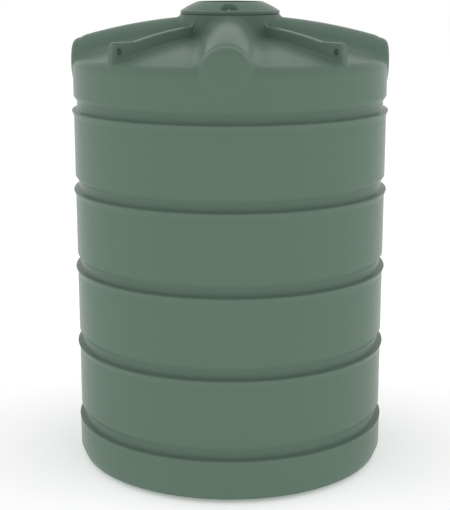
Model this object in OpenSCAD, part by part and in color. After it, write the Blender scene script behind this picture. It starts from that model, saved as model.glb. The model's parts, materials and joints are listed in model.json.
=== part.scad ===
// Round polyethylene water tank with a domed roof, screened inlet, overflow and outlet valve
// Origin at the centre of the base, +Z up, the outlet and the overflow face +Y

/* [Tank] */
// Outside diameter of the plain wall bands
tank_d = 1450; // [1350:10:1600]
// Height at which the roof would meet the wall in a sharp corner
eave_h = 1898; // [1860:2:2100]
// Wall thickness of the moulding
wall_t = 6; // [5:0.5:8]
// Radius of the dome that the roof is part of
roof_r = 2392; // [2200:4:2800]
// Rounding between roof and wall
shoulder_r = 35; // [25:1:50]
// Rounding between base and wall
base_corner_r = 60; // [40:1:64]
// How far the bottom band stands out from the bands above
base_band_out = 6; // [2:0.5:8]

/* [Wall grooves] */
// Number of grooves round the wall
groove_n = 5; // [3:1:5]
// Height of the lowest lip
groove_first_h = 197.5; // [194:0.5:240]
// Distance from one lip to the next
groove_pitch = 367.5; // [330:0.5:380]
// How far a lip stands out from the wall
lip_out = 9; // [6:0.5:12]
// Height of the taper under a lip
lip_taper_h = 24; // [18:1:26]
// Depth of a groove below the wall
groove_depth = 15; // [10:1:20]
// Height of a groove from the lip to the band above
groove_h = 68; // [60:1:80]
// Height of the slope at the top of a groove
groove_slope_h = 22; // [16:1:30]

/* [Roof humps] */
// How far the crest of a hump stands above the roof
hump_rise = 87; // [75:1:100]
// Radius of the crest, seen along the hump
hump_r = 112; // [100:1:125]
// Rounding at the foot of a hump
hump_foot_r = 40; // [30:1:50]
// Rounding between crest and end face
hump_end_r = 40; // [30:1:50]
// How far the flat end face stands out from the wall
hump_face_out = 3.5; // [2:0.5:6]

/* [Ribs and lifting lugs] */
// Thickness of a rib and its lug
rib_t = 36; // [30:1:44]
// How far a rib stands above the roof
rib_rise = 54; // [45:1:65]
// Rounding along the top edges of a rib
rib_top_r = 9; // [4:0.5:12]
// Rounding at the foot of a rib
rib_foot_r = 12; // [6:1:16]
// How far a lug is wider than its rib on each side
lug_side_out = 1; // [0.5:0.5:4]
// Height of the flat top of a lug above the eave
lug_rise = 99; // [90:1:110]
// Distance from the wall back to the top corner of a lug
lug_inset = 25; // [20:1:40]
// How much further the foot of a lug reaches than its top
lug_slant = 14; // [8:1:16]
// Rounding of the top corner of a lug
lug_corner_r = 16; // [8:1:20]
// Diameter of the lifting eye
eye_d = 30; // [24:1:36]
// Distance from the top corner of a lug in to its eye
eye_in = 30; // [28:1:38]
// Distance from the top of a lug down to its eye
eye_down = 40; // [32:1:44]

/* [Inlet neck] */
// Outside diameter of the neck at its top
neck_d = 456; // [430:2:480]
// Height of the top of the neck above the eave
neck_rise = 203; // [198:1:230]
// How much the neck widens on its way down to the roof
neck_flare = 10; // [4:1:16]
// Rounding between neck and roof
neck_foot_r = 20; // [12:1:30]
// Width of the flat land that turns in at the top of the neck
land_w = 50; // [44:1:54]
// Thickness of the land
land_t = 8; // [6:0.5:10]

/* [Lid ring] */
// Diameter of the opening in the lid ring
lid_opening_d = 294; // [270:2:310]
// Height of the straight rim of the lid ring
lid_rim_h = 11; // [8:0.5:14]
// Height of the lid ring above its seal
lid_h = 52; // [46:1:58]
// Wall thickness of the lid ring
lid_t = 4; // [3:0.5:5]
// Radius of the curve of the lid's flank, seen in section
lid_flank_r = 370; // [250:10:600]
// Number of screw pockets
pocket_n = 3; // [3:1:6]
// Radius of a screw pocket
pocket_r = 38; // [30:1:42]
// Height of a pocket's floor above the seal
pocket_floor_h = 17; // [14:0.5:20]
// Thickness of the lid seal
seal_t = 3; // [2:0.5:4]
// How far the seal lies in from the rim
seal_inset = 5; // [2:0.5:8]
// Distance from the outside of the neck in to a lid screw
screw_inset = 22; // [20:0.5:26]
// Diameter of a lid screw
screw_d = 6; // [5:0.5:8]

/* [Strainer] */
// Depth of the strainer basket below the neck's land
basket_depth = 96; // [70:1:120]
// How much narrower the basket is at its floor, in diameter
basket_taper = 30; // [16:2:40]
// Wall thickness of the basket
basket_t = 3; // [2.5:0.5:4]
// Width of the basket's flange
basket_flange_w = 42; // [40:1:46]
// Number of windows round the basket
window_n = 20; // [12:1:24]
// Width of a window in the basket
window_w = 26; // [16:1:28]
// Thickness of the mesh disc
mesh_t = 1.2; // [1:0.1:2]
// Distance from one mesh opening to the next
mesh_pitch = 24; // [22:1:30]
// Width of the strips between mesh openings
mesh_strip = 5; // [3:0.5:8]

/* [Overflow] */
// Outside diameter of the overflow pipe end
overflow_d = 90; // [80:1:96]
// Wall thickness of the overflow pipe end
overflow_t = 3; // [2.5:0.5:4]
// Length of the overflow pipe end outside its flange
overflow_len = 62; // [50:1:80]
// Width of the overflow's flange round the pipe
overflow_flange_w = 20; // [16:1:22]
// Thickness of the overflow's flange
overflow_flange_t = 5; // [4:0.5:7]
// Height of the nut inside the overflow
overflow_nut_h = 12; // [9:1:16]

/* [Outlet] */
// Height of the outlet's axis above the base
outlet_h = 116; // [112:1:120]
// Outside diameter of the outlet's pipe thread
thread_d = 33.2; // [30:0.2:36]
// Diameter of the waterway
waterway_d = 25; // [20:0.5:26]
// Diameter of the flat boss on the wall
outlet_boss_d = 96; // [84:1:100]
// How far the boss stands out from the bottom band
outlet_boss_out = 2; // [1:0.5:3]
// Thickness of the wall at the boss
outlet_boss_t = 11; // [9:0.5:14]
// Thickness of the rubber gaskets
gasket_t = 3; // [2:0.5:4]
// Width across the flats of the outlet's flange hexagon and nut
outlet_hex = 46; // [42:1:48]
// Height of the outlet's nut
outlet_nut_h = 10; // [8:0.5:14]
// Thickness of the washer under the outlet's nut
outlet_washer_t = 3; // [2:0.5:4]

/* [Ball valve] */
// Diameter of the ball
ball_d = 36; // [34:0.5:38]
// Wall thickness of the valve body round the ball
valve_wall = 4.5; // [4:0.5:6]
// Width across the flats of the valve's ends
valve_hex = 42; // [40:1:46]
// Length of thread in each end of the valve
valve_thread_len = 15; // [12:0.5:17]
// Diameter of the stem
stem_d = 8; // [7:0.5:9]
// Length of the lever from the stem to its tip
lever_len = 128; // [105:1:150]
// Width of the lever
lever_w = 16; // [14:0.5:18]
// Thickness of the lever
lever_t = 3; // [2.5:0.5:3.5]
// How far the lever's grip end stands above its hub
lever_rise = 10; // [6:1:14]
// Length of the grip
grip_len = 70; // [55:1:74]
// Thickness of the grip's wall
grip_t = 1.8; // [1.2:0.1:2.4]

/* [Fits] */
// Clearance round a thread or a plugged part
fit_gap = 0.15; // [0.1:0.05:0.2]
// Clearance round the turning stem
stem_gap = 0.06; // [0.03:0.01:0.1]
// Clearance between the turning parts and what holds them
turn_gap = 0.3; // [0.25:0.05:0.4]

/* [Hidden] */
$fn = 96;

tank_green = [0.38, 0.46, 0.41];
black = [0.08, 0.08, 0.09];
steel = [0.72, 0.73, 0.74];
brass = [0.78, 0.64, 0.36];
white = [0.93, 0.93, 0.91];
grip_green = [0.10, 0.36, 0.24];

arc_steps = 6;
// How far a rounding dips into the roof, so that the two surfaces cross cleanly
dip = 0.6;
// How far a solid reaches past the face that it cuts or joins
past = 1;

tank_r = tank_d / 2;
roof_c = eave_h - sqrt(pow(roof_r, 2) - pow(tank_r, 2));
shoulder_x = tank_r - shoulder_r;
shoulder_z = roof_c + sqrt(pow(roof_r - shoulder_r, 2) - pow(shoulder_x, 2));
side_humps = [0, 90, 180, 270];
side_ribs = [45, 135, 225, 315];

neck_r = neck_d / 2;
neck_top = eave_h + neck_rise;
land_r = neck_r - land_w;

// Height of a dome that is grown by extra, at distance r from the axis
function dome_z(r, extra = 0) = roof_c + sqrt(pow(roof_r + extra, 2) - pow(r, 2));

// Points of an arc about c from angle a to angle b
function arc(c, r, a, b, steps = arc_steps) =
    [for (i = [0 : steps]) let (w = a + (b - a) * i / steps) [c[0] + r * cos(w), c[1] + r * sin(w)]];

// Unit vector to the left of the way from p to q
function left_of(p, q) = let (d = (q - p) / norm(q - p)) [-d[1], d[0]];

// A line of points moved to its left by t
function inset(p, t) = [for (i = [0 : len(p) - 1])
    let (a = left_of(p[max(i - 1, 0)], p[max(i, 1)]))
    let (b = left_of(p[min(i, len(p) - 2)], p[min(i + 1, len(p) - 1)]))
    p[i] + t * (a + b) / (1 + a * b)];

// The points of one side of an outline, followed by their mirror image
function both_sides(p) = concat(p, [for (i = [len(p) - 1 : -1 : 0]) [p[i][0], -p[i][1]]]);

module outward(az) {
    rotate([0, 0, az]) children();
}

// Sweeps a section over the roof from angle a to angle b off the vertical, towards +X
// In the section, X is the distance from the dome's centre and Y is across
module roof_sweep(a, b) {
    translate([0, 0, roof_c]) rotate([-90, -90, 0]) rotate([0, 0, a]) rotate_extrude(angle = b - a) children();
}

module tube(r, hole_r, h) {
    difference() {
        cylinder(r = r, h = h);
        translate([0, 0, -past]) cylinder(r = hole_r, h = h + 2 * past);
    }
}

module hexagon(flats, h) {
    cylinder(d = flats / cos(30), h = h, $fn = 6);
}

// Tank wall and roof

lip_edge_h = 4;
lip_edge_in = 2;
ledge_h = 8;

function groove_line(z, r_below) = [
    [r_below, z - lip_taper_h],
    [tank_r + lip_out, z],
    [tank_r + lip_out - lip_edge_in, z + lip_edge_h],
    [tank_r - groove_depth, z + ledge_h],
    [tank_r - groove_depth, z + groove_h - groove_slope_h],
    [tank_r, z + groove_h]];

base_r = tank_r + base_band_out;

function wall_line() = concat(
    [[0, 0]],
    arc([base_r - base_corner_r, base_corner_r], base_corner_r, -90, 0),
    [for (i = [0 : groove_n - 1])
        each groove_line(groove_first_h + i * groove_pitch, i == 0 ? base_r : tank_r)],
    [[tank_r, shoulder_z]]);

module body_section(t) {
    beyond = 1.5 * shoulder_r / (roof_r - shoulder_r);
    corner_x = shoulder_x * (1 + 0.85 * beyond);
    above = roof_c + roof_r + past;
    polygon(concat(inset(wall_line(), t), [[0, shoulder_z]]));
    translate([shoulder_x, shoulder_z]) circle(shoulder_r - t);
    intersection() {
        translate([0, roof_c]) circle(roof_r - t, $fn = 360);
        polygon([[0, shoulder_z], [shoulder_x, shoulder_z],
            [corner_x, shoulder_z + (shoulder_z - roof_c) * beyond], [corner_x, above], [0, above]]);
    }
}

module tank_body(t) {
    rotate_extrude($fn = 180) body_section(t);
}

// Humps

hump_axis = roof_r + hump_rise - hump_r;
foot_axis = roof_r - dip + hump_foot_r;
foot_y = sqrt(pow(hump_r + hump_foot_r, 2) - pow(foot_axis - hump_axis, 2));
face_x = tank_r + hump_face_out;
face_z = roof_c + sqrt(pow(hump_axis, 2) - pow(face_x - hump_end_r, 2));
face_r = hump_r + 1;
hump_below = 30;
hump_start = sqrt(pow(neck_r + neck_flare + neck_foot_r / 2, 2) - pow(foot_y, 2));

module hump_section(t) {
    low = roof_r - hump_below;
    touch = hump_axis + (foot_axis - hump_axis) * (hump_r - t) / (hump_r + hump_foot_r);
    translate([hump_axis, 0]) circle(hump_r - t);
    difference() {
        translate([low, -foot_y]) square([touch - low, 2 * foot_y]);
        for (s = [-1, 1]) {
            translate([foot_axis, s * foot_y]) circle(hump_foot_r + t);
        }
    }
}

// Section of a hump's round end about its own axis, X outward from the axis, Y towards the face
module end_section(t, back, spread) {
    translate([0, -back]) square([face_r - t, back]);
    square([face_r - hump_end_r, hump_end_r - t]);
    intersection() {
        translate([face_r - hump_end_r, 0]) circle(hump_end_r - t);
        square(2 * face_r);
    }
    if (spread > 0) {
        polygon([[0, 0], [face_r - t, 0], [face_r + spread, -spread], [face_r + spread, -back], [0, -back]]);
    }
}

module hump_end(t, back, spread) {
    translate([face_x - hump_end_r, 0, face_z]) rotate([0, 90, 0]) rotate_extrude() end_section(t, back, spread);
}

module hump(t) {
    intersection() {
        roof_sweep(asin(hump_start / roof_r), asin(tank_r / roof_r)) hump_section(t);
        hump_end(t, tank_r, 2 * hump_foot_r);
    }
    hump_end(t, hump_below, 0);
}

// Ribs and lugs

lug_top = eave_h + lug_rise;
lug_x = tank_r - lug_inset;
rib_top = roof_r + rib_rise;
lug_start = sqrt(pow(rib_top, 2) - pow(lug_top - roof_c, 2));
rib_start = neck_r - 20;
edge_steps = 4;
eye_x = lug_x - eye_in;
eye_z = lug_top - eye_down;

module rib() {
    half = rib_t / 2;
    side = concat(
        [[roof_r - hump_below, half + rib_foot_r]],
        arc([roof_r - dip + rib_foot_r, half + rib_foot_r], rib_foot_r, 180, 270, edge_steps),
        arc([rib_top - rib_top_r, half - rib_top_r], rib_top_r, 90, 0, edge_steps));
    roof_sweep(asin(rib_start / roof_r), asin((lug_start + eye_in) / roof_r)) polygon(both_sides(side));
}

module rib_void() {
    half = rib_t / 2 - wall_t;
    low = roof_r - hump_below;
    roof_sweep(asin(rib_start / roof_r), asin((lug_start - eye_in) / roof_r))
        translate([low, -half]) square([rib_top - wall_t - low, 2 * half]);
}

// Lug seen from its side, X away from the tank's axis, Y up
module lug_side() {
    foot_x = lug_x + lug_slant;
    foot_z = dome_z(shoulder_x) - hump_below;
    polygon(concat(
        [[lug_start - eye_in, foot_z], [foot_x, foot_z]],
        arc([lug_x - lug_corner_r, lug_top - lug_corner_r], lug_corner_r, 8, 90, edge_steps),
        [[lug_start - eye_in, lug_top]]));
}

module lug() {
    half = rib_t / 2 + lug_side_out;
    low = dome_z(shoulder_x) - hump_below;
    side = concat([[low, half]], arc([lug_top - rib_top_r, half - rib_top_r], rib_top_r, 90, 0, edge_steps));
    intersection() {
        rotate([90, 0, 0]) linear_extrude(2 * half + 2 * past, center = true) lug_side();
        rotate([0, -90, 180]) linear_extrude(tank_r) polygon(both_sides(side));
    }
}

// Neck

neck_low_r = neck_r + neck_flare;
neck_foot_x = neck_low_r + neck_foot_r;
neck_foot_z = dome_z(neck_foot_x, neck_foot_r - dip);

module neck() {
    slope = 180 + atan2(neck_foot_z - roof_c, neck_foot_x);
    low = dome_z(neck_foot_x) - hump_below;
    rotate_extrude($fn = 180) polygon(concat(
        [[0, low], [neck_foot_x, low]],
        arc([neck_foot_x, neck_foot_z], neck_foot_r, slope, 180),
        [[neck_r, neck_top], [0, neck_top]]));
}

module neck_void() {
    low = dome_z(neck_foot_x) - hump_below;
    rotate_extrude($fn = 180) polygon([[0, low], [neck_low_r - wall_t, low],
        [neck_low_r - wall_t, neck_foot_z], [neck_r - wall_t, neck_top - land_t],
        [land_r, neck_top - land_t], [land_r, neck_top + past], [0, neck_top + past]]);
}

// Outlet boss and holes

outlet_face = base_r + outlet_boss_out;
overflow_hole_d = overflow_d + 2 * fit_gap;
thread_hole_d = thread_d + 2 * fit_gap;
screw_circle_r = neck_r - screw_inset;
screw_angles = [for (i = [0 : pocket_n - 1]) 270 + i * 360 / pocket_n];

module at_screws() {
    for (a = screw_angles) {
        outward(a) translate([screw_circle_r, 0, 0]) children();
    }
}

// Places an axis that points out of the back of the tank, with its start at distance y and height z
module out_back(y, z) {
    translate([0, y, z]) rotate([-90, 0, 0]) children();
}

module tank_shell() color(tank_green) {
    difference() {
        union() {
            difference() {
                union() {
                    tank_body(0);
                    neck();
                    for (a = side_humps) outward(a) hump(0);
                    for (a = side_ribs) outward(a) rib();
                    for (a = side_ribs) outward(a) lug();
                }
                tank_body(wall_t);
                neck_void();
                for (a = side_humps) outward(a) hump(wall_t);
                for (a = side_ribs) outward(a) rib_void();
            }
            out_back(outlet_face - outlet_boss_t, outlet_h) cylinder(d = outlet_boss_d, h = outlet_boss_t);
        }
        for (a = side_ribs) {
            outward(a) translate([eye_x, 0, eye_z]) rotate([90, 0, 0])
                cylinder(d = eye_d, h = rib_t + 2 * (lug_side_out + past), center = true);
        }
        out_back(face_x - hump_end_r, face_z) cylinder(d = overflow_hole_d, h = 2 * hump_end_r);
        out_back(outlet_face - 2 * outlet_boss_t, outlet_h) cylinder(d = thread_hole_d, h = 3 * outlet_boss_t);
        at_screws() translate([0, 0, neck_top - 2 * land_t]) cylinder(d = screw_d, h = 3 * land_t);
    }
}

// Lid ring, seal and screws

lid_z = neck_top + seal_t;
lid_top = lid_z + lid_h;
lid_opening_r = lid_opening_d / 2;
lid_crown_w = 3;
rim_bevel = 6;
boss_wall = 5;
screw_head_h = 4;
flank_low = [neck_r - rim_bevel, lid_z + lid_rim_h + rim_bevel * 0.6];
flank_high = [lid_opening_r + lid_crown_w, lid_top];
flank_mid = (flank_low + flank_high) / 2;
flank_way = flank_high - flank_low;
flank_sag = sqrt(pow(lid_flank_r, 2) - pow(norm(flank_way) / 2, 2));
flank_c = flank_mid + flank_sag * left_of(flank_low, flank_high);

function lid_line() = concat(
    [[neck_r, lid_z], [neck_r, lid_z + lid_rim_h]],
    arc(flank_c, lid_flank_r,
        atan2(flank_low[1] - flank_c[1], flank_low[0] - flank_c[0]),
        atan2(flank_high[1] - flank_c[1], flank_high[0] - flank_c[0])),
    [[lid_opening_r, lid_top - lid_crown_w], [lid_opening_r, lid_z]]);

// Hollow under the lid ring, open downwards between the outer rim and the inner skirt
function lid_void_line() = let (line = inset(lid_line(), lid_t), last = len(line) - 1)
    [for (i = [0 : last]) i == 0 || i == last ? [line[i][0], lid_z - past] : line[i]];

module pocket(r, low, high) {
    at_screws() translate([0, 0, low]) cylinder(r = r, h = high - low);
}

module lid_ring() color(tank_green) {
    floor_z = lid_z + pocket_floor_h;
    difference() {
        rotate_extrude($fn = 180) polygon(lid_line());
        difference() {
            rotate_extrude($fn = 180) polygon(lid_void_line());
            pocket(pocket_r + lid_t, floor_z - lid_t, lid_top + past);
            pocket(screw_d / 2 + boss_wall, lid_z, floor_z);
        }
        pocket(pocket_r, floor_z, lid_top + past);
        pocket(screw_d / 2 + fit_gap, lid_z - past, floor_z + past);
    }
}

module lid_seal() color(black) {
    difference() {
        translate([0, 0, neck_top]) tube(neck_r - seal_inset, lid_opening_r + basket_flange_w + fit_gap, seal_t);
        at_screws() translate([0, 0, neck_top - past]) cylinder(r = screw_d / 2 + fit_gap, h = seal_t + 2 * past);
    }
}

module lid_screws() color(steel) {
    head_z = lid_z + pocket_floor_h;
    at_screws() {
        translate([0, 0, neck_top - land_t - screw_d]) cylinder(d = screw_d - fit_gap, h = head_z - neck_top + land_t + screw_d);
        difference() {
            translate([0, 0, head_z]) cylinder(d1 = 2.6 * screw_d, d2 = 2.1 * screw_d, h = screw_head_h);
            translate([0, 0, head_z + screw_head_h / 2]) hexagon(screw_d * 0.7, screw_head_h);
        }
    }
}

// Strainer

basket_floor_z = neck_top - basket_depth;
basket_low_r = lid_opening_r - basket_taper / 2;
basket_high_r = lid_opening_r;
basket_ledge_w = 10;
window_foot = 14;

module strainer_basket() color(black) {
    flange_r = lid_opening_r + basket_flange_w;
    wall = [[basket_low_r, basket_floor_z], [basket_high_r, neck_top + seal_t]];
    outside = inset(wall, -basket_t);
    difference() {
        rotate_extrude($fn = 180) {
            polygon([wall[0], outside[0], outside[1], wall[1]]);
            translate([basket_high_r, neck_top]) square([basket_flange_w, seal_t]);
            translate([basket_low_r - basket_ledge_w, basket_floor_z]) square([basket_ledge_w + basket_t, basket_t]);
        }
        for (i = [0 : window_n - 1]) {
            outward((i + 0.5) * 360 / window_n)
                translate([basket_low_r - basket_ledge_w / 2, -window_w / 2, basket_floor_z + window_foot])
                cube([basket_taper + basket_ledge_w, window_w, basket_depth - 2 * window_foot]);
        }
    }
}

module strainer_mesh() color(steel) {
    r = basket_low_r - fit_gap;
    field = r - basket_ledge_w;
    open = mesh_pitch - mesh_strip;
    half = floor(field / mesh_pitch);
    difference() {
        translate([0, 0, basket_floor_z + basket_t]) cylinder(r = r, h = mesh_t);
        for (i = [-half : half], j = [-half : half]) {
            if (norm([abs(i) + 0.5, abs(j) + 0.5]) * mesh_pitch < field) {
                translate([i * mesh_pitch, j * mesh_pitch, basket_floor_z + basket_t + mesh_t / 2])
                    cube([open, open, 2 * past + mesh_t], center = true);
            }
        }
    }
}

// Overflow on the back hump's flat end

overflow_r = overflow_d / 2;
overflow_flange_r = overflow_r + overflow_flange_w;
overflow_tail = wall_t + overflow_nut_h + 2;
screen_ring_w = 4;
screen_h = 8;

module overflow_spigot() color(white) {
    length = overflow_tail + gasket_t + overflow_len;
    out_back(face_x + gasket_t, face_z) {
        difference() {
            union() {
                cylinder(r = overflow_flange_r, h = overflow_flange_t);
                translate([0, 0, -overflow_tail - gasket_t]) cylinder(r = overflow_r, h = length);
            }
            translate([0, 0, -overflow_tail - gasket_t - past])
                cylinder(r = overflow_r - overflow_t, h = length + 2 * past);
        }
    }
}

module overflow_gasket() color(black) {
    out_back(face_x, face_z) tube(overflow_flange_r - fit_gap, overflow_r + fit_gap, gasket_t);
}

module overflow_nut() color(black) {
    grip_n = 8;
    out_back(face_x - wall_t - overflow_nut_h, face_z) linear_extrude(overflow_nut_h) difference() {
        union() {
            circle(r = overflow_r + overflow_flange_w / 2);
            for (i = [0 : grip_n - 1]) {
                rotate(i * 360 / grip_n) translate([overflow_r, -4]) square([overflow_flange_w - 5, 8]);
            }
        }
        circle(r = overflow_r + fit_gap);
    }
}

module overflow_screen() color(steel) {
    r = overflow_r - overflow_t - fit_gap;
    inner = r - screen_ring_w;
    pitch = 12;
    strip = 3;
    half = floor(inner / pitch);
    out_back(face_x + gasket_t + overflow_len - screen_h, face_z) {
        tube(r, inner, screen_h);
        difference() {
            cylinder(r = r - past, h = mesh_t);
            for (i = [-half : half], j = [-half : half]) {
                if (norm([abs(i) + 0.5, abs(j) + 0.5]) * pitch < inner) {
                    translate([i * pitch, j * pitch, mesh_t / 2])
                        cube([pitch - strip, pitch - strip, 2 * past + mesh_t], center = true);
                }
            }
        }
    }
}

// Outlet through the boss

thread_r = thread_d / 2;
waterway_r = waterway_d / 2;
outlet_in = outlet_face - outlet_boss_t;
outlet_flange_r = outlet_hex / cos(30) / 2 + 3;
outlet_flange_t = 5;
outlet_hex_h = 10;
outlet_out = outlet_face + gasket_t + outlet_flange_t + outlet_hex_h;
outlet_tail_y = outlet_in - outlet_washer_t - outlet_nut_h - 4;

module outlet_fitting() color(brass) {
    difference() {
        union() {
            out_back(outlet_tail_y, outlet_h) cylinder(r = thread_r, h = outlet_out - outlet_tail_y + valve_thread_len);
            out_back(outlet_face + gasket_t, outlet_h) cylinder(r = outlet_flange_r, h = outlet_flange_t);
            out_back(outlet_face + gasket_t + outlet_flange_t, outlet_h) hexagon(outlet_hex, outlet_hex_h);
        }
        out_back(outlet_tail_y - past, outlet_h)
            cylinder(r = waterway_r, h = outlet_out - outlet_tail_y + valve_thread_len + 2 * past);
    }
}

module outlet_gasket() color(black) {
    out_back(outlet_face, outlet_h) tube(outlet_flange_r, thread_r + fit_gap, gasket_t);
}

module outlet_washer() color(white) {
    out_back(outlet_in - outlet_washer_t, outlet_h) tube(outlet_flange_r, thread_r + fit_gap, outlet_washer_t);
}

module outlet_nut() color(brass) {
    out_back(outlet_in - outlet_washer_t - outlet_nut_h, outlet_h) difference() {
        hexagon(outlet_hex, outlet_nut_h);
        translate([0, 0, -past]) cylinder(r = thread_r + fit_gap, h = outlet_nut_h + 2 * past);
    }
}

// Ball valve, its waterway along +Y and its stem along +Z

ball_r = ball_d / 2;
seat_r = ball_r - 1;
seat_hole_r = waterway_r + 0.4;
seat_far = ball_r - 2;
seat_near = sqrt(pow(ball_r, 2) - pow(seat_r, 2)) + 2;
chamber_r = ball_r + 1;
body_r = chamber_r + valve_wall;
end_thread_r = chamber_r + 1;
end_thread_len = 8;
stop_wall = 4;
ball_y = outlet_out + valve_thread_len + stop_wall + seat_far;
end_y = ball_y + seat_far + stop_wall - end_thread_len / 2;
end_hex_len = valve_thread_len + 6;
valve_out = end_y + end_hex_len;

stem_r = stem_d / 2;
stem_collar_r = stem_r + 2.5;
stem_collar_h = 3;
collar_low = ball_r + turn_gap;
collar_high = collar_low + stem_collar_h;
bonnet_r = stem_collar_r + 3.5;
packing_r = stem_r + 2.4;
packing_low = collar_high + turn_gap + 3;
packing_h = 4;
gland_h = 6;
bonnet_top = packing_low + packing_h + gland_h;
gland_hex = 2 * packing_r + 1.4;
gland_head_h = 5;
hub_low = bonnet_top + gland_head_h + turn_gap;
hub_top = hub_low + lever_t;
hub_r = bonnet_r + 5;
flat_w = stem_d - 1.6;
stud_r = stem_r - 1;
nut_flats = stem_d + 2;
nut_h = 5;

stop_r = 2.3;
stop_circle_r = gland_hex / cos(30) / 2 + stop_r + 1.2;
stop_angle = -58;
open_angle = 90;
notch_r = stop_circle_r - stop_r - turn_gap;
notch_side = asin((stop_r + turn_gap) / stop_circle_r);

// Places a piece on the stem's axis at height z above the waterway's axis
module on_stem(z) {
    translate([0, ball_y, outlet_h + z]) children();
}

module valve_body() color(brass) {
    inlet_len = valve_thread_len + stop_wall;
    difference() {
        union() {
            out_back(outlet_out, outlet_h) hexagon(valve_hex, inlet_len);
            out_back(outlet_out + valve_thread_len, outlet_h) cylinder(r = body_r, h = end_y - outlet_out - valve_thread_len);
            on_stem(0) cylinder(r = bonnet_r, h = bonnet_top);
            on_stem(ball_r) rotate([0, 0, stop_angle]) translate([stop_circle_r, 0, 0])
                cylinder(r = stop_r + 1, h = bonnet_top - ball_r - past);
            on_stem(ball_r) rotate([0, 0, stop_angle]) translate([stop_circle_r, 0, 0])
                cylinder(r = stop_r, h = hub_top + turn_gap - ball_r);
        }
        out_back(outlet_out - past, outlet_h) cylinder(r = thread_r + fit_gap, h = valve_thread_len + past);
        out_back(outlet_out, outlet_h) cylinder(r = waterway_r, h = inlet_len + past);
        out_back(ball_y - seat_far, outlet_h) cylinder(r = seat_r + fit_gap, h = seat_far);
        out_back(ball_y - seat_near, outlet_h) cylinder(r = chamber_r, h = end_y - ball_y + seat_near + past);
        out_back(end_y - end_thread_len, outlet_h) cylinder(r = end_thread_r, h = end_thread_len + past);
        on_stem(0) cylinder(r = stem_r + stem_gap, h = bonnet_top + past);
        on_stem(0) cylinder(r = stem_collar_r + turn_gap, h = collar_high + turn_gap);
        on_stem(packing_low) cylinder(r = packing_r, h = bonnet_top);
    }
}

module valve_end() color(brass) {
    difference() {
        union() {
            out_back(end_y - end_thread_len, outlet_h) cylinder(r = end_thread_r - fit_gap, h = end_thread_len);
            out_back(end_y, outlet_h) hexagon(valve_hex, end_hex_len);
        }
        out_back(end_y - end_thread_len - past, outlet_h) cylinder(r = waterway_r, h = end_thread_len + end_hex_len);
        out_back(ball_y, outlet_h) cylinder(r = seat_r + fit_gap, h = seat_far);
        out_back(valve_out - valve_thread_len, outlet_h) cylinder(r = thread_r - 1.5, h = valve_thread_len + past);
    }
}

// Ring seat, its flat back away from the ball
module seat() {
    difference() {
        translate([0, 0, seat_near - 2]) tube(seat_r, seat_hole_r, seat_far - seat_near + 2);
        sphere(r = ball_r + turn_gap);
    }
}

module valve_seat_inner() color(white) {
    out_back(ball_y, outlet_h) rotate([180, 0, 0]) seat();
}

module valve_seat_outer() color(white) {
    out_back(ball_y, outlet_h) seat();
}

tenon_w = 3;
tenon_len = stem_d;
tenon_depth = 4;

module valve_ball() color(steel) {
    on_stem(0) difference() {
        sphere(r = ball_r);
        rotate([0, 90, 0]) cylinder(r = waterway_r - 1, h = ball_d + 2 * past, center = true);
        translate([-ball_r, -tenon_w / 2 - fit_gap, ball_r - tenon_depth]) cube([ball_d, tenon_w + 2 * fit_gap, ball_r]);
    }
}

module valve_stem() color(brass) {
    on_stem(0) {
        translate([-tenon_len / 2, -tenon_w / 2, ball_r - tenon_depth + fit_gap]) cube([tenon_len, tenon_w, tenon_depth + turn_gap]);
        translate([0, 0, collar_low]) cylinder(r = stem_collar_r, h = stem_collar_h);
        translate([0, 0, collar_low]) cylinder(r = stem_r, h = hub_low - collar_low);
        intersection() {
            translate([0, 0, hub_low - past]) cylinder(r = stem_r, h = past + lever_t - turn_gap);
            translate([-stem_r, -flat_w / 2, 0]) cube([stem_d, flat_w, hub_top]);
        }
        translate([0, 0, hub_low]) cylinder(r = stud_r, h = lever_t + nut_h + 1.5);
    }
}

module gland_packing() color(white) {
    on_stem(packing_low) tube(packing_r, stem_r + stem_gap, packing_h);
}

module gland_nut() color(brass) {
    on_stem(packing_low + packing_h) difference() {
        union() {
            cylinder(r = packing_r - fit_gap, h = gland_h);
            translate([0, 0, gland_h]) hexagon(gland_hex, gland_head_h);
        }
        translate([0, 0, -past]) cylinder(r = stem_r + stem_gap, h = gland_h + gland_head_h + 2 * past);
    }
}

// Lever at rest along +X, across the waterway: the valve is shut

bend_start = hub_r + 4;
bend_end = bend_start + 1.6 * lever_rise;
grip_start = lever_len - grip_len;

function lever_line() = [[0, 0], [bend_start, 0], [bend_end, lever_rise], [lever_len, lever_rise]];

module stop_notch() {
    reach = 3 * hub_r;
    from = stop_angle - open_angle - notch_side;
    to = stop_angle + notch_side;
    difference() {
        polygon(concat([[0, 0]], [for (i = [0 : arc_steps]) let (w = from + (to - from) * i / arc_steps) reach * [cos(w), sin(w)]]));
        circle(notch_r);
    }
}

module valve_lever() color(steel) {
    line = lever_line();
    on_stem(hub_low) difference() {
        union() {
            cylinder(r = hub_r, h = lever_t);
            rotate([90, 0, 0]) linear_extrude(lever_w, center = true) polygon(concat(line,
                [for (i = [len(line) - 1 : -1 : 0]) inset(line, lever_t)[i]]));
        }
        translate([0, 0, -past]) linear_extrude(lever_t + 2 * past) stop_notch();
        intersection() {
            translate([0, 0, -past]) cylinder(r = stem_r + fit_gap, h = lever_t + 2 * past);
            translate([-stem_d, -flat_w / 2 - fit_gap, -past]) cube([2 * stem_d, flat_w + 2 * fit_gap, lever_t + 2 * past]);
        }
    }
}

module rounded_bar(w, h, x0, x1) {
    translate([x0, 0, 0]) rotate([90, 0, 90]) linear_extrude(x1 - x0) {
        square([w - h, h], center = true);
        for (s = [-1, 1]) translate([s * (w - h) / 2, 0]) circle(d = h);
    }
}

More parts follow.
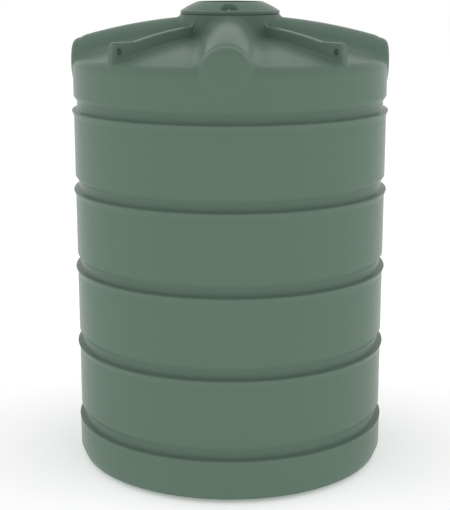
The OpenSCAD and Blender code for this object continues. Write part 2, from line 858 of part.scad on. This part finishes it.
module lever_grip() color(grip_green) {
    on_stem(hub_low + lever_rise + lever_t / 2) difference() {
        rounded_bar(lever_w + 2 * grip_t, lever_t + 2 * grip_t, grip_start, lever_len + grip_t);
        translate([grip_start - past, -lever_w / 2 - fit_gap, -lever_t / 2 - fit_gap])
            cube([grip_len + past, lever_w + 2 * fit_gap, lever_t + 2 * fit_gap]);
    }
}

module lever_nut() color(steel) {
    on_stem(hub_top) difference() {
        hexagon(nut_flats, nut_h);
        translate([0, 0, -past]) cylinder(r = stud_r + fit_gap, h = nut_h + 2 * past);
    }
}

tank_shell();
lid_ring();
lid_seal();
lid_screws();
strainer_basket();
strainer_mesh();
overflow_spigot();
overflow_gasket();
overflow_nut();
overflow_screen();
outlet_fitting();
outlet_gasket();
outlet_washer();
outlet_nut();
valve_body();
valve_end();
valve_seat_inner();
valve_seat_outer();
valve_ball();
valve_stem();
gland_packing();
gland_nut();
valve_lever();
lever_grip();
lever_nut();
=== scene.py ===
import json
import math
import bmesh
import bpy
import numpy as np
from mathutils import Matrix, Vector


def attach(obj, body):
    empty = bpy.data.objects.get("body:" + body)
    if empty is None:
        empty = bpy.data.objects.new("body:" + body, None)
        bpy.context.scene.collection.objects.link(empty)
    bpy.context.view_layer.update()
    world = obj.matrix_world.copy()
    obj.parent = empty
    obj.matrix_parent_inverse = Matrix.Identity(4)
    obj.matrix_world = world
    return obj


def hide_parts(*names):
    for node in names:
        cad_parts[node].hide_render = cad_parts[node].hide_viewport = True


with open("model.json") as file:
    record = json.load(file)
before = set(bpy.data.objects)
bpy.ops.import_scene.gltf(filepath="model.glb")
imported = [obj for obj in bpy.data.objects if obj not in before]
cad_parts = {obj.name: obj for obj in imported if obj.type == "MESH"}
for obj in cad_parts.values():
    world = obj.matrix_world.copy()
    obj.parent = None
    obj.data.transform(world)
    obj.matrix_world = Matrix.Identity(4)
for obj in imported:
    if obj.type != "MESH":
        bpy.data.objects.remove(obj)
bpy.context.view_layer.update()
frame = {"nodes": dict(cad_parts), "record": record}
print("frame loaded")


# Shader maths: a socket that can be added, multiplied and so on
class Signal:
    def __init__(self, shader, socket):
        self.shader = shader
        self.socket = socket

    def math(self, operation, other, flipped=False):
        pair = (other, self) if flipped else (self, other)
        return self.shader.node("ShaderNodeMath", {"operation": operation}, {0: pair[0], 1: pair[1]})

    def __add__(self, other):
        return self.math("ADD", other)

    def __sub__(self, other):
        return self.math("SUBTRACT", other)

    def __rsub__(self, other):
        return self.math("SUBTRACT", other, flipped=True)

    def __mul__(self, other):
        return self.math("MULTIPLY", other)

    __radd__ = __add__
    __rmul__ = __mul__

    def pick(self, name):
        return Signal(self.shader, self.socket.node.outputs[name])


class Shader:
    def __init__(self, name, owner=None):
        self.owner = owner or bpy.data.materials.new(name)
        self.owner.use_nodes = True
        self.nodes = self.owner.node_tree.nodes
        self.links = self.owner.node_tree.links
        self.surface = self.nodes.get("Principled BSDF")
        self.place = self.node("ShaderNodeTexCoord").pick("Object" if self.surface else "Generated")

    def node(self, kind, settings=None, inputs=None):
        made = self.nodes.new(kind)
        for name, value in (settings or {}).items():
            setattr(made, name, value)
        for name, value in (inputs or {}).items():
            self.feed(made.inputs[name], value)
        return Signal(self, made.outputs[0])

    def feed(self, socket, value):
        if isinstance(value, Signal):
            self.links.new(value.socket, socket)
        elif hasattr(value, "__len__") and socket.type == "RGBA":
            socket.default_value = (*value, 1) if len(value) == 3 else value
        else:
            socket.default_value = value

    def set(self, **values):
        for name, value in values.items():
            self.feed(self.surface.inputs[name.replace("_", " ")], value)

    def noise(self, scale, detail=2.0, roughness=0.5, where=None):
        return self.node("ShaderNodeTexNoise", {}, {
            "Vector": where or self.place, "Scale": scale, "Detail": detail, "Roughness": roughness})

    def stretched(self, scale):
        return self.node("ShaderNodeMapping", {}, {"Vector": self.place, "Scale": scale})

    def spread(self, signal, low, high, fromLow=0.2, fromHigh=0.8):
        return self.node("ShaderNodeMapRange", {"interpolation_type": "SMOOTHSTEP"}, {
            "Value": signal, "From Min": fromLow, "From Max": fromHigh, "To Min": low, "To Max": high})

    def blend(self, factor, first, second):
        made = self.node("ShaderNodeMix", {"data_type": "RGBA"}, {0: factor, 6: first, 7: second})
        return Signal(self, made.socket.node.outputs[2])

    def bump(self, height, distance, strength=1.0, after=None):
        inputs = {"Height": height, "Distance": distance, "Strength": strength}
        if after:
            inputs["Normal"] = after
        return self.node("ShaderNodeBump", {}, inputs)


def linear(red, green, blue):
    # Picture colour, 0 to 255, as the shader's linear colour
    values = [v / 255 for v in (red, green, blue)]
    return tuple(v / 12.92 if v < 0.04045 else ((v + 0.055) / 1.055) ** 2.4 for v in values)


def mouldedPlastic(name, colour):
    shader = Shader(name)
    cloud = shader.noise(180.0, 1.0)
    grain = shader.noise(300.0, 0.0)
    colourHigh = tuple(v * 1.02 for v in colour)
    colourLow = tuple(v * 0.98 for v in colour)
    shader.set(
        Base_Color=shader.blend(shader.spread(cloud, 0, 1), colourLow, colourHigh),
        Roughness=shader.spread(cloud, 0.27, 0.3),
        Normal=shader.bump(grain, 0.00002))
    shader.set(IOR=1.5, Specular_IOR_Level=0.06, Specular_Tint=(0.72, 1.0, 0.84))
    return shader.owner


def plainPlastic(name, colour, roughness, grainDepth=0.00003):
    shader = Shader(name)
    cloud = shader.noise(40.0, 3.0)
    shader.set(
        Base_Color=colour,
        Roughness=shader.spread(cloud, roughness - 0.05, roughness + 0.05),
        Normal=shader.bump(shader.noise(1500.0, 1.0), grainDepth))
    return shader.owner


def metal(name, colour, roughness, brushed=None, tarnish=None):
    shader = Shader(name)
    streaks = shader.noise(1.0, 4.0, where=shader.stretched(brushed or (60, 60, 60)))
    base = colour
    if tarnish:
        patches = shader.spread(shader.noise(55.0, 4.0), 0, 1, 0.45, 0.75)
        base = shader.blend(patches, colour, tarnish)
    shader.set(
        Base_Color=base, Metallic=1.0,
        Roughness=shader.spread(streaks, roughness - 0.06, roughness + 0.08),
        Normal=shader.bump(streaks, 0.00004))
    return shader.owner


tankPaint = mouldedPlastic("tankPlastic", linear(91, 110, 98))
lidPaint = mouldedPlastic("lidPlastic", linear(90, 109, 97))
finishes = {
    "tank_plastic": tankPaint,
    "lid_plastic": lidPaint,
    "black_rubber": plainPlastic("blackRubber", linear(42, 42, 44), 0.7, 0.00008),
    "stainless": metal("stainless", linear(132, 134, 136), 0.45, (20, 20, 900)),
    "stainless_mesh": metal("stainlessMesh", linear(170, 172, 174), 0.4),
    "black_plastic": plainPlastic("blackPlastic", linear(40, 41, 43), 0.45),
    "white_pvc": plainPlastic("whitePvc", linear(226, 227, 222), 0.28),
    "brass": metal("brass", linear(190, 166, 112), 0.32, (80, 80, 80), linear(158, 132, 86)),
    "white_nylon": plainPlastic("whiteNylon", linear(228, 227, 218), 0.4),
    "chromed_brass": metal("chromedBrass", linear(214, 216, 218), 0.1),
    "grip_vinyl": plainPlastic("gripVinyl", linear(38, 104, 70), 0.35),
}
slots = {part["node"]: part["material_slot"] for part in frame["record"]["subparts"]}
bodies = {node: body for body, nodes in frame["record"]["behaviour"]["bodies"].items() for node in nodes}
print("materials made")


def addPiece(name, work, node, sharpDegrees=35):
    # A finished bmesh becomes a piece that stands for a CAD node
    mesh = bpy.data.meshes.new(name)
    work.to_mesh(mesh)
    work.free()
    mesh.shade_smooth()
    mesh.set_sharp_from_angle(angle=math.radians(sharpDegrees))
    piece = bpy.data.objects.new(name, mesh)
    bpy.context.collection.objects.link(piece)
    piece.data.materials.append(finishes[slots[node]])
    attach(piece, bodies[node])
    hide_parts(node)
    return piece


def copyOf(node):
    # The CAD node's triangles with their shared corners joined
    work = bmesh.new()
    work.from_mesh(frame["nodes"][node].data)
    bmesh.ops.remove_doubles(work, verts=work.verts, dist=0.00001)
    return work


def combine(piece, cutters, operation):
    # Cuts closed shapes out of a piece, or joins them on, and keeps the result as its mesh
    mesh = bpy.data.meshes.new("cutter")
    cutters.to_mesh(mesh)
    cutters.free()
    cutter = bpy.data.objects.new("cutter", mesh)
    bpy.context.collection.objects.link(cutter)
    cut = piece.modifiers.new("cut", "BOOLEAN")
    cut.object = cutter
    cut.solver = "EXACT"
    cut.operation = operation
    done = bpy.data.meshes.new_from_object(piece.evaluated_get(bpy.context.evaluated_depsgraph_get()))
    piece.modifiers.remove(cut)
    piece.data = done
    bpy.data.objects.remove(cutter)


def addCylinder(work, radius, start, end, segments=48):
    # A closed cylinder from one point to another
    way = Vector(end) - Vector(start)
    turn = way.to_track_quat("Z", "Y").to_matrix().to_4x4()
    bmesh.ops.create_cone(work, cap_ends=True, segments=segments, radius1=radius, radius2=radius,
                          depth=way.length, matrix=Matrix.Translation((Vector(start) + Vector(end)) / 2) @ turn)


# Tank shell: a grid that is laid over the round wall and roof, then moved onto the moulded form
shellSizes = {
    "wallRadius": 0.725, "baseRadius": 0.731, "lipRadius": 0.734, "baseCorner": 0.060, "thickness": 0.006,
    "shoulderHeight": 1.8723, "shoulderRadius": 0.035,
    "domeRadius": 2.392, "domeCentre": -0.381493,
    "humpAxis": 2.367, "humpRadius": 0.112, "humpFoot": 0.040,
    "faceOut": 0.7285, "faceHeight": 1.883172, "faceRadius": 0.113, "faceEdge": 0.040,
    "ribHalf": 0.018, "ribTop": 2.446, "ribEdge": 0.009, "ribFoot": 0.012,
    "lugTop": 1.997, "lugStart": 0.560, "lugEnd": 0.700, "lugSlant": 0.014, "lugCorner": 0.016,
    "eyeRadius": 0.015, "eyeOut": 0.670, "eyeHeight": 1.957,
    "neckRadius": 0.228, "neckFlare": 0.010, "neckFoot": 0.018, "neckTop": 2.101, "neckLow": 1.999,
    "landRadius": 0.178, "landThickness": 0.008,
    "overflowHole": 0.04515, "outletHeight": 0.116, "outletBoss": 0.048, "outletHole": 0.01675, "outletFace": 0.733,
}
grooveSizes = {
    "count": 5, "first": 0.1975, "pitch": 0.3675, "taper": 0.024, "depth": 0.015,
    "edgeHeight": 0.004, "edgeIn": 0.002, "ledge": 0.008, "slopeStart": 0.046, "top": 0.068,
}
gridSizes = {
    "humpHalf": 0.146, "ribHalf": 0.032, "between": 21, "innerRadius": 0.262, "outerRadius": 0.690,
    "roofRings": 34, "padRings": 14, "padLow": 1.745,
}


def roundMax(a, b, radius):
    # The overlap of two forms with its edge rounded
    return np.minimum(np.maximum(a, b), -radius) + np.hypot(np.maximum(a + radius, 0), np.maximum(b + radius, 0))


def roundMin(a, b, radius):
    # Two forms joined with a fillet
    return -roundMax(-a, -b, radius)


def ramp(value, low, high):
    t = np.clip((value - low) / (high - low), 0, 1)
    return t * t * (3 - 2 * t)


def moulding(x, y, z):
    # How far a point is outside the moulding, in the eighth from a hump (along X) to a rib (at 45 degrees)
    s = shellSizes
    height = z - s["domeCentre"]
    radius = np.hypot(x, y)
    dome = np.hypot(radius, height) - s["domeRadius"]
    body = roundMax(dome, radius - s["wallRadius"], s["shoulderRadius"])
    tube = np.hypot(np.hypot(x, height) - s["humpAxis"], y) - s["humpRadius"]
    faceStart = s["faceOut"] - s["faceEdge"]
    disc = np.hypot(y, z - s["faceHeight"]) - s["faceRadius"] - np.maximum(faceStart - x, 0)
    hump = roundMax(tube, roundMax(disc, x - s["faceOut"], s["faceEdge"]), 0.012)
    form = roundMin(body, hump, 0.005 + (s["humpFoot"] - 0.005) * ramp(z, 1.855, 1.94))
    along = (x + y) * math.sqrt(0.5)
    across = np.abs(x - y) * math.sqrt(0.5) - s["ribHalf"]
    rib = roundMax(roundMax(across, np.hypot(along, height) - s["ribTop"], s["ribEdge"]), along - 0.62, 0.004)
    end = along - s["lugEnd"] - s["lugSlant"] * (s["lugTop"] - z) / (s["lugTop"] - s["shoulderHeight"])
    lug = roundMax(roundMax(z - s["lugTop"], end, s["lugCorner"]), across, s["ribEdge"])
    lug = np.maximum(np.maximum(lug, s["lugStart"] - along), 1.85 - z)
    form = roundMin(form, np.minimum(rib, lug), 0.003 + (s["ribFoot"] - 0.003) * ramp(z, 1.86, 1.90))
    neckAt = s["neckRadius"] + s["neckFlare"] * np.clip((s["neckTop"] - z) / (s["neckTop"] - s["neckLow"]), 0, 1)
    neck = roundMax(radius - neckAt, z - s["neckTop"], 0.002)
    return roundMin(form, neck, s["neckFoot"])


def landOn(start, way, reach, samples=240):
    # Where lines that come in from outside first meet the moulding
    steps = np.linspace(0, reach, samples)[:, None]
    outside = moulding(*(start[:, i] + steps * way[:, i] for i in range(3))) > 0
    first = np.argmin(outside, axis=0)
    high = steps[first, 0]
    low = steps[np.maximum(first - 1, 0), 0]
    for _ in range(24):
        middle = (low + high) / 2
        out = moulding(*(start[:, i] + middle * way[:, i] for i in range(3))) > 0
        low, high = np.where(out, middle, low), np.where(out, high, middle)
    return start + high[:, None] * way


def roundedLine(corners, steps=3):
    # (radius, height, rounding) corners as points, with each corner rounded
    points = [corners[0][:2]]
    for before, corner, after in zip(corners, corners[1:], corners[2:]):
        here = Vector(corner[:2])
        back = (Vector(before[:2]) - here).normalized()
        on = (Vector(after[:2]) - here).normalized()
        half = back.angle(on) / 2
        centre = here + (back + on).normalized() * corner[2] / math.sin(half)
        startAt = here + back * corner[2] / math.tan(half) - centre
        endAt = here + on * corner[2] / math.tan(half) - centre
        for i in range(steps + 1):
            turned = startAt.lerp(endAt, i / steps).normalized() * corner[2]
            points.append(tuple(centre + turned))
    return points + [corners[-1][:2]]


def columnsOfEighth():
    # Each column is (kind, place): at a fixed distance from the hump's or the rib's middle, or between the two
    s, g = shellSizes, gridSizes
    crest = [s["humpRadius"] * math.sin(math.radians(a)) for a in (0, 6, 12, 18, 24, 30, 36, 42, 48, 54, 60, 65)]
    footMiddle = 0.1377
    foot = [footMiddle - s["humpFoot"] * math.cos(math.radians(a)) for a in (38, 52, 64, 77, 90)]
    between = [i / g["between"] for i in range(g["between"] + 1)]
    half, edge, low = s["ribHalf"], s["ribEdge"], s["ribFoot"]
    ribPlaces = [half + low + 0.000, half + low * 0.5, half + low * 0.14, half + 0.0002, half - 0.0002]
    ribPlaces += [half - edge + edge * math.sin(math.radians(a)) for a in (62, 38, 15)] + [0.005, 0]
    return ([("hump", y) for y in crest + foot] + [("between", t) for t in between]
            + [("rib", y) for y in ribPlaces])


columns = columnsOfEighth()


def planPlaces(radius):
    # Every column's place on a circle of this radius, in the eighth
    g = gridSizes
    used = max(radius, g["innerRadius"])
    fixed = min(used, g["outerRadius"])
    nearHump = math.asin(g["humpHalf"] / fixed)
    nearRib = math.radians(45) - math.asin(g["ribHalf"] / fixed)
    places = []
    for kind, value in columns:
        if kind == "hump":
            turn = math.asin(value / used)
        elif kind == "rib":
            turn = math.radians(45) - math.asin(value / used)
        else:
            turn = nearHump + (nearRib - nearHump) * value
        places.append((radius * math.cos(turn), radius * math.sin(turn)))
    return np.array(places)


def outWays():
    # The level direction in which each column runs outwards
    places = planPlaces(gridSizes["outerRadius"])
    ways = places / np.linalg.norm(places, axis=1)[:, None]
    for i, (kind, _) in enumerate(columns):
        if kind == "hump":
            ways[i] = (1, 0)
        elif kind == "rib":
            ways[i] = (math.sqrt(0.5), math.sqrt(0.5))
    return ways


def ring(radius, height):
    places = planPlaces(radius)
    return np.column_stack([places, np.full(len(places), height)])


def wallProfile():
    s, g = shellSizes, grooveSizes
    corners = [(s["baseRadius"] - s["baseCorner"] - 0.001, 0.0, 0), (s["baseRadius"], 0.0, s["baseCorner"] - 0.001)]
    for i in range(g["count"]):
        z = g["first"] + i * g["pitch"]
        below = s["baseRadius"] if i == 0 else s["wallRadius"]
        corners += [
            (below, z - g["taper"], 0.02),
            (s["lipRadius"], z, 0.0015),
            (s["lipRadius"] - g["edgeIn"], z + g["edgeHeight"], 0.0012),
            (s["wallRadius"] - g["depth"], z + g["ledge"], 0.005),
            (s["wallRadius"] - g["depth"], z + g["slopeStart"], 0.010),
            (s["wallRadius"], z + g["top"], 0.003)]
    return roundedLine(corners + [(s["wallRadius"], gridSizes["padLow"], 0)], 2)


def shellRings():
    s, g, v = shellSizes, gridSizes, grooveSizes
    ways = outWays()
    upright = np.zeros(len(ways))
    rings = [ring(r, 0.0) for r in (0.0, 0.25, 0.5)] + [ring(*p) for p in wallProfile()]
    base = planPlaces(g["outerRadius"])
    # Level lines onto the wall and the flat ends of the humps
    for z in np.linspace(g["padLow"], s["shoulderHeight"], g["padRings"] + 1)[1:]:
        level = np.column_stack([ways, upright])
        start = np.column_stack([base + ways * 0.08, np.full(len(ways), z)])
        rings.append(landOn(start, -level, 0.08))
    # Lines that fan up over the shoulder and the ends of the lugs
    fan = (5, 10, 15, 20, 25, 30, 35, 40, 45, 50, 55, 60, 64, 68, 72, 75, 78, 80.5, 82.5, 83.8, 84.6, 85.4, 86.5, 88, 90)
    for degrees in fan:
        out, up = math.cos(math.radians(degrees)), math.sin(math.radians(degrees))
        way = np.column_stack([ways * out, np.full(len(ways), up)])
        start = np.column_stack([base, np.full(len(ways), s["shoulderHeight"])]) + way * 0.2
        rings.append(landOn(start, -way, 0.2))
    # Upright lines onto the roof
    for radius in np.linspace(g["outerRadius"], g["innerRadius"], g["roofRings"] + 1)[1:]:
        start = ring(radius, s["neckTop"] - 0.001)
        rings.append(landOn(start, np.tile([0, 0, -1.0], (len(start), 1)), 0.25))
    # Level lines onto the neck
    low = rings[-1]
    toAxis = np.column_stack([low[:, :2] / np.linalg.norm(low[:, :2], axis=1)[:, None], upright])
    for t in (0.05, 0.12, 0.22, 0.35, 0.5, 0.7, 0.9, 0.985):
        start = low.copy()
        start[:, 2] = low[:, 2] + (s["neckTop"] - low[:, 2]) * t
        rings.append(landOn(start + toAxis * 0.004, -toAxis, 0.05))
    rings += [ring(s["neckRadius"] - 0.002, s["neckTop"]), ring(s["landRadius"], s["neckTop"])]
    # Inside of the shell, plainer than the outside
    t = s["thickness"]
    domeInside = [(r, s["domeCentre"] + math.sqrt((s["domeRadius"] - t) ** 2 - r * r))
                  for r in (0.245, 0.35, 0.45, 0.55, 0.64, 0.69)]
    inside = [(s["landRadius"], s["neckTop"] - s["landThickness"]),
              (s["neckRadius"] - t, s["neckTop"] - s["landThickness"]), (s["neckRadius"], 1.99)]
    inside += domeInside + [(0.711, s["shoulderHeight"] + 0.015), (s["wallRadius"] - t, s["shoulderHeight"])]
    for i in reversed(range(v["count"])):
        z = v["first"] + i * v["pitch"]
        groove = s["wallRadius"] - v["depth"] - t
        inside += [(s["wallRadius"] - t, z + v["top"] + t), (groove, z + v["slopeStart"] + t), (groove, z + 0.004),
                   (s["wallRadius"] - t, z - 0.002)]
    inside += [(s["wallRadius"] - t, s["baseCorner"]), (s["baseRadius"] - s["baseCorner"], t), (0.0, t)]
    return np.array(rings + [ring(*p) for p in inside])


def buildShell():
    eighth = shellRings()
    last = eighth.shape[1] - 1
    count = 8 * last
    full = np.empty((len(eighth), count + 1, 3))
    for c in range(count + 1):
        part, step = divmod(c % count, last)
        mirrored = part % 2 == 1
        point = eighth[:, last - step if mirrored else step]
        side = point[:, 1] * (-1 if mirrored else 1)
        turn = math.radians(90 * ((part + 1) // 2))
        full[:, c, 0] = point[:, 0] * math.cos(turn) - side * math.sin(turn)
        full[:, c, 1] = point[:, 0] * math.sin(turn) + side * math.cos(turn)
        full[:, c, 2] = point[:, 2]
    work = bmesh.new()
    bmesh.ops.create_grid(work, x_segments=count, y_segments=len(eighth) - 1, size=1)
    for vert in work.verts:
        column = round((vert.co.x + 1) / 2 * count)
        row = round((vert.co.y + 1) / 2 * (len(eighth) - 1))
        vert.co = full[row, column]
    bmesh.ops.remove_doubles(work, verts=work.verts, dist=0.00002)
    bmesh.ops.recalc_face_normals(work, faces=work.faces)
    print("shell faces", len(work.faces), "rings", len(eighth), "columns", count)
    return work


def buildTank():
    s = shellSizes
    tank = addPiece("tankShell", buildShell(), "tank_shell", 38)
    cutters = bmesh.new()
    for degrees in (45, 135, 225, 315):
        turn = Matrix.Rotation(math.radians(degrees), 4, "Z")
        reach = s["ribHalf"] + 0.002
        addCylinder(cutters, s["eyeRadius"], turn @ Vector((s["eyeOut"], -reach, s["eyeHeight"])),
                    turn @ Vector((s["eyeOut"], reach, s["eyeHeight"])), 32)
    addCylinder(cutters, s["overflowHole"], (0, 0.60, s["faceHeight"]), (0, 0.75, s["faceHeight"]), 64)
    boss = bmesh.new()
    addCylinder(boss, s["outletBoss"], (0, 0.71, s["outletHeight"]), (0, s["outletFace"], s["outletHeight"]), 96)
    rim = [edge for edge in boss.edges if all(vert.co.y > 0.72 for vert in edge.verts)]
    bmesh.ops.bevel(boss, geom=rim, offset=0.0012, segments=2, profile=0.5, affect="EDGES", material=-1)
    combine(tank, boss, "UNION")
    addCylinder(cutters, s["outletHole"], (0, 0.66, s["outletHeight"]), (0, 0.78, s["outletHeight"]), 64)
    combine(tank, cutters, "DIFFERENCE")
    tank.data.set_sharp_from_angle(angle=math.radians(38))
    return tank


tankShell = buildTank()
print("tank shell made")

# Every other piece starts as the CAD node with smooth faces and slightly rounded edges
edgeRounds = {
    "lid_ring": 0.0015, "lid_seal": 0.0004, "lid_screws": 0.0003, "strainer_basket": 0.0005,
    "overflow_spigot": 0.0008, "overflow_gasket": 0.0004, "overflow_nut": 0.0006,
    "outlet_fitting": 0.0005, "outlet_gasket": 0.0003, "outlet_washer": 0.0003, "outlet_nut": 0.0005,
    "valve_body": 0.0006, "valve_end": 0.0005, "valve_stem": 0.0003, "gland_nut": 0.0003,
    "valve_lever": 0.0004, "lever_grip": 0.001, "lever_nut": 0.0003,
}
for node in slots:
    if node == "tank_shell":
        continue
    piece = addPiece(node + "Piece", copyOf(node), node, 30)
    if node in edgeRounds:
        rounding = piece.modifiers.new("edges", "BEVEL")
        rounding.width = edgeRounds[node]
        rounding.segments = 2
        rounding.limit_method = "ANGLE"
        rounding.angle_limit = math.radians(30)
        rounding.harden_normals = False
print("fittings made")

# Floor, backdrop, lamps and camera
scene = bpy.context.scene
scene.view_settings.view_transform = "Standard"


def addStage(name, work, material):
    mesh = bpy.data.meshes.new(name)
    work.to_mesh(mesh)
    work.free()
    stage = bpy.data.objects.new(name, mesh)
    bpy.context.collection.objects.link(stage)
    stage.data.materials.append(material)
    return stage


def seenDirectly(shader):
    # 1 where the camera, a reflection or glass looks, 0 for the light that falls on things
    path = shader.node("ShaderNodeLightPath")
    return path.pick("Is Camera Ray") + path.pick("Is Glossy Ray") + path.pick("Is Transmission Ray")


def studioFloor():
    # The floor shows as white, and keeps the shadow under the tank
    shader = Shader("studioFloor")
    pale = shader.node("ShaderNodeBsdfDiffuse", {}, {"Color": (0.9, 0.9, 0.9)})
    glow = shader.node("ShaderNodeEmission", {}, {"Color": (1, 1, 1), "Strength": stageSizes["floorGlow"]})
    lit = shader.node("ShaderNodeAddShader", {}, {0: pale, 1: glow})
    white = shader.node("ShaderNodeEmission", {}, {"Color": (1, 1, 1), "Strength": stageSizes["floorWhite"]})
    seen = shader.node("ShaderNodeAddShader", {}, {0: pale, 1: white})
    mixed = shader.node("ShaderNodeMixShader", {}, {0: seenDirectly(shader), 1: lit, 2: seen})
    shader.feed(shader.nodes["Material Output"].inputs["Surface"], mixed)
    return shader.owner


def studioWorld():
    # White where it is looked at, and a softer light from the sides than from above
    shader = Shader("studio", bpy.data.worlds.new("studio"))
    height = shader.node("ShaderNodeSeparateXYZ", {}, {0: shader.place}).pick("Z")
    light = shader.spread(height, stageSizes["lowLight"], stageSizes["topLight"], 0.0, 0.9)
    toSide = shader.node("ShaderNodeSeparateXYZ", {}, {0: shader.place}).math("ABSOLUTE", 0)
    light = light * (toSide * stageSizes["sideGain"] + stageSizes["frontGain"])
    falling = shader.node("ShaderNodeBackground", {}, {"Color": (1, 1, 1), "Strength": light})
    seen = shader.node("ShaderNodeBackground", {}, {"Color": (1, 1, 1), "Strength": 1.0})
    mixed = shader.node("ShaderNodeMixShader", {}, {0: seenDirectly(shader), 1: falling, 2: seen})
    shader.feed(shader.nodes["World Output"].inputs["Surface"], mixed)
    return shader.owner


stageSizes = {"floorGlow": 0.64, "floorWhite": 0.25, "lowLight": 0.5, "topLight": 1.05, "sideGain": 1.95,
              "frontGain": 0.2}


floorWork = bmesh.new()
bmesh.ops.create_circle(floorWork, cap_ends=True, segments=96, radius=30)
floor = addStage("floor", floorWork, studioFloor())

scene.world = studioWorld()


def addLamp(name, place, aim, size, power):
    data = bpy.data.lights.new(name, "AREA")
    data.shape = "RECTANGLE"
    data.size, data.size_y = size
    data.energy = power
    lamp = bpy.data.objects.new(name, data)
    lamp.location = place
    lamp.rotation_mode = "QUATERNION"
    lamp.rotation_quaternion = (Vector(aim) - Vector(place)).to_track_quat("-Z", "Y")
    bpy.context.collection.objects.link(lamp)
    return lamp


addLamp("topLamp", (0, -0.5, 6.0), (0, 0, 1), (5, 5), 40)

cameraSizes = {"focal": 1241.9, "distance": 5.814, "height": 2.3046, "pitch": 13.008, "shiftPixels": -5.05,
               "around": 1.3}
cameraData = bpy.data.cameras.new("camera")
cameraData.sensor_width = 36
cameraData.lens = cameraSizes["focal"] / 510 * 36
cameraData.shift_x = cameraSizes["shiftPixels"] / 510
camera = bpy.data.objects.new("camera", cameraData)
turn = math.radians(cameraSizes["around"])
camera.location = (cameraSizes["distance"] * math.sin(turn), -cameraSizes["distance"] * math.cos(turn),
                   cameraSizes["height"])
camera.rotation_euler = (math.radians(90 - cameraSizes["pitch"]), 0, turn)
bpy.context.collection.objects.link(camera)
scene.camera = camera
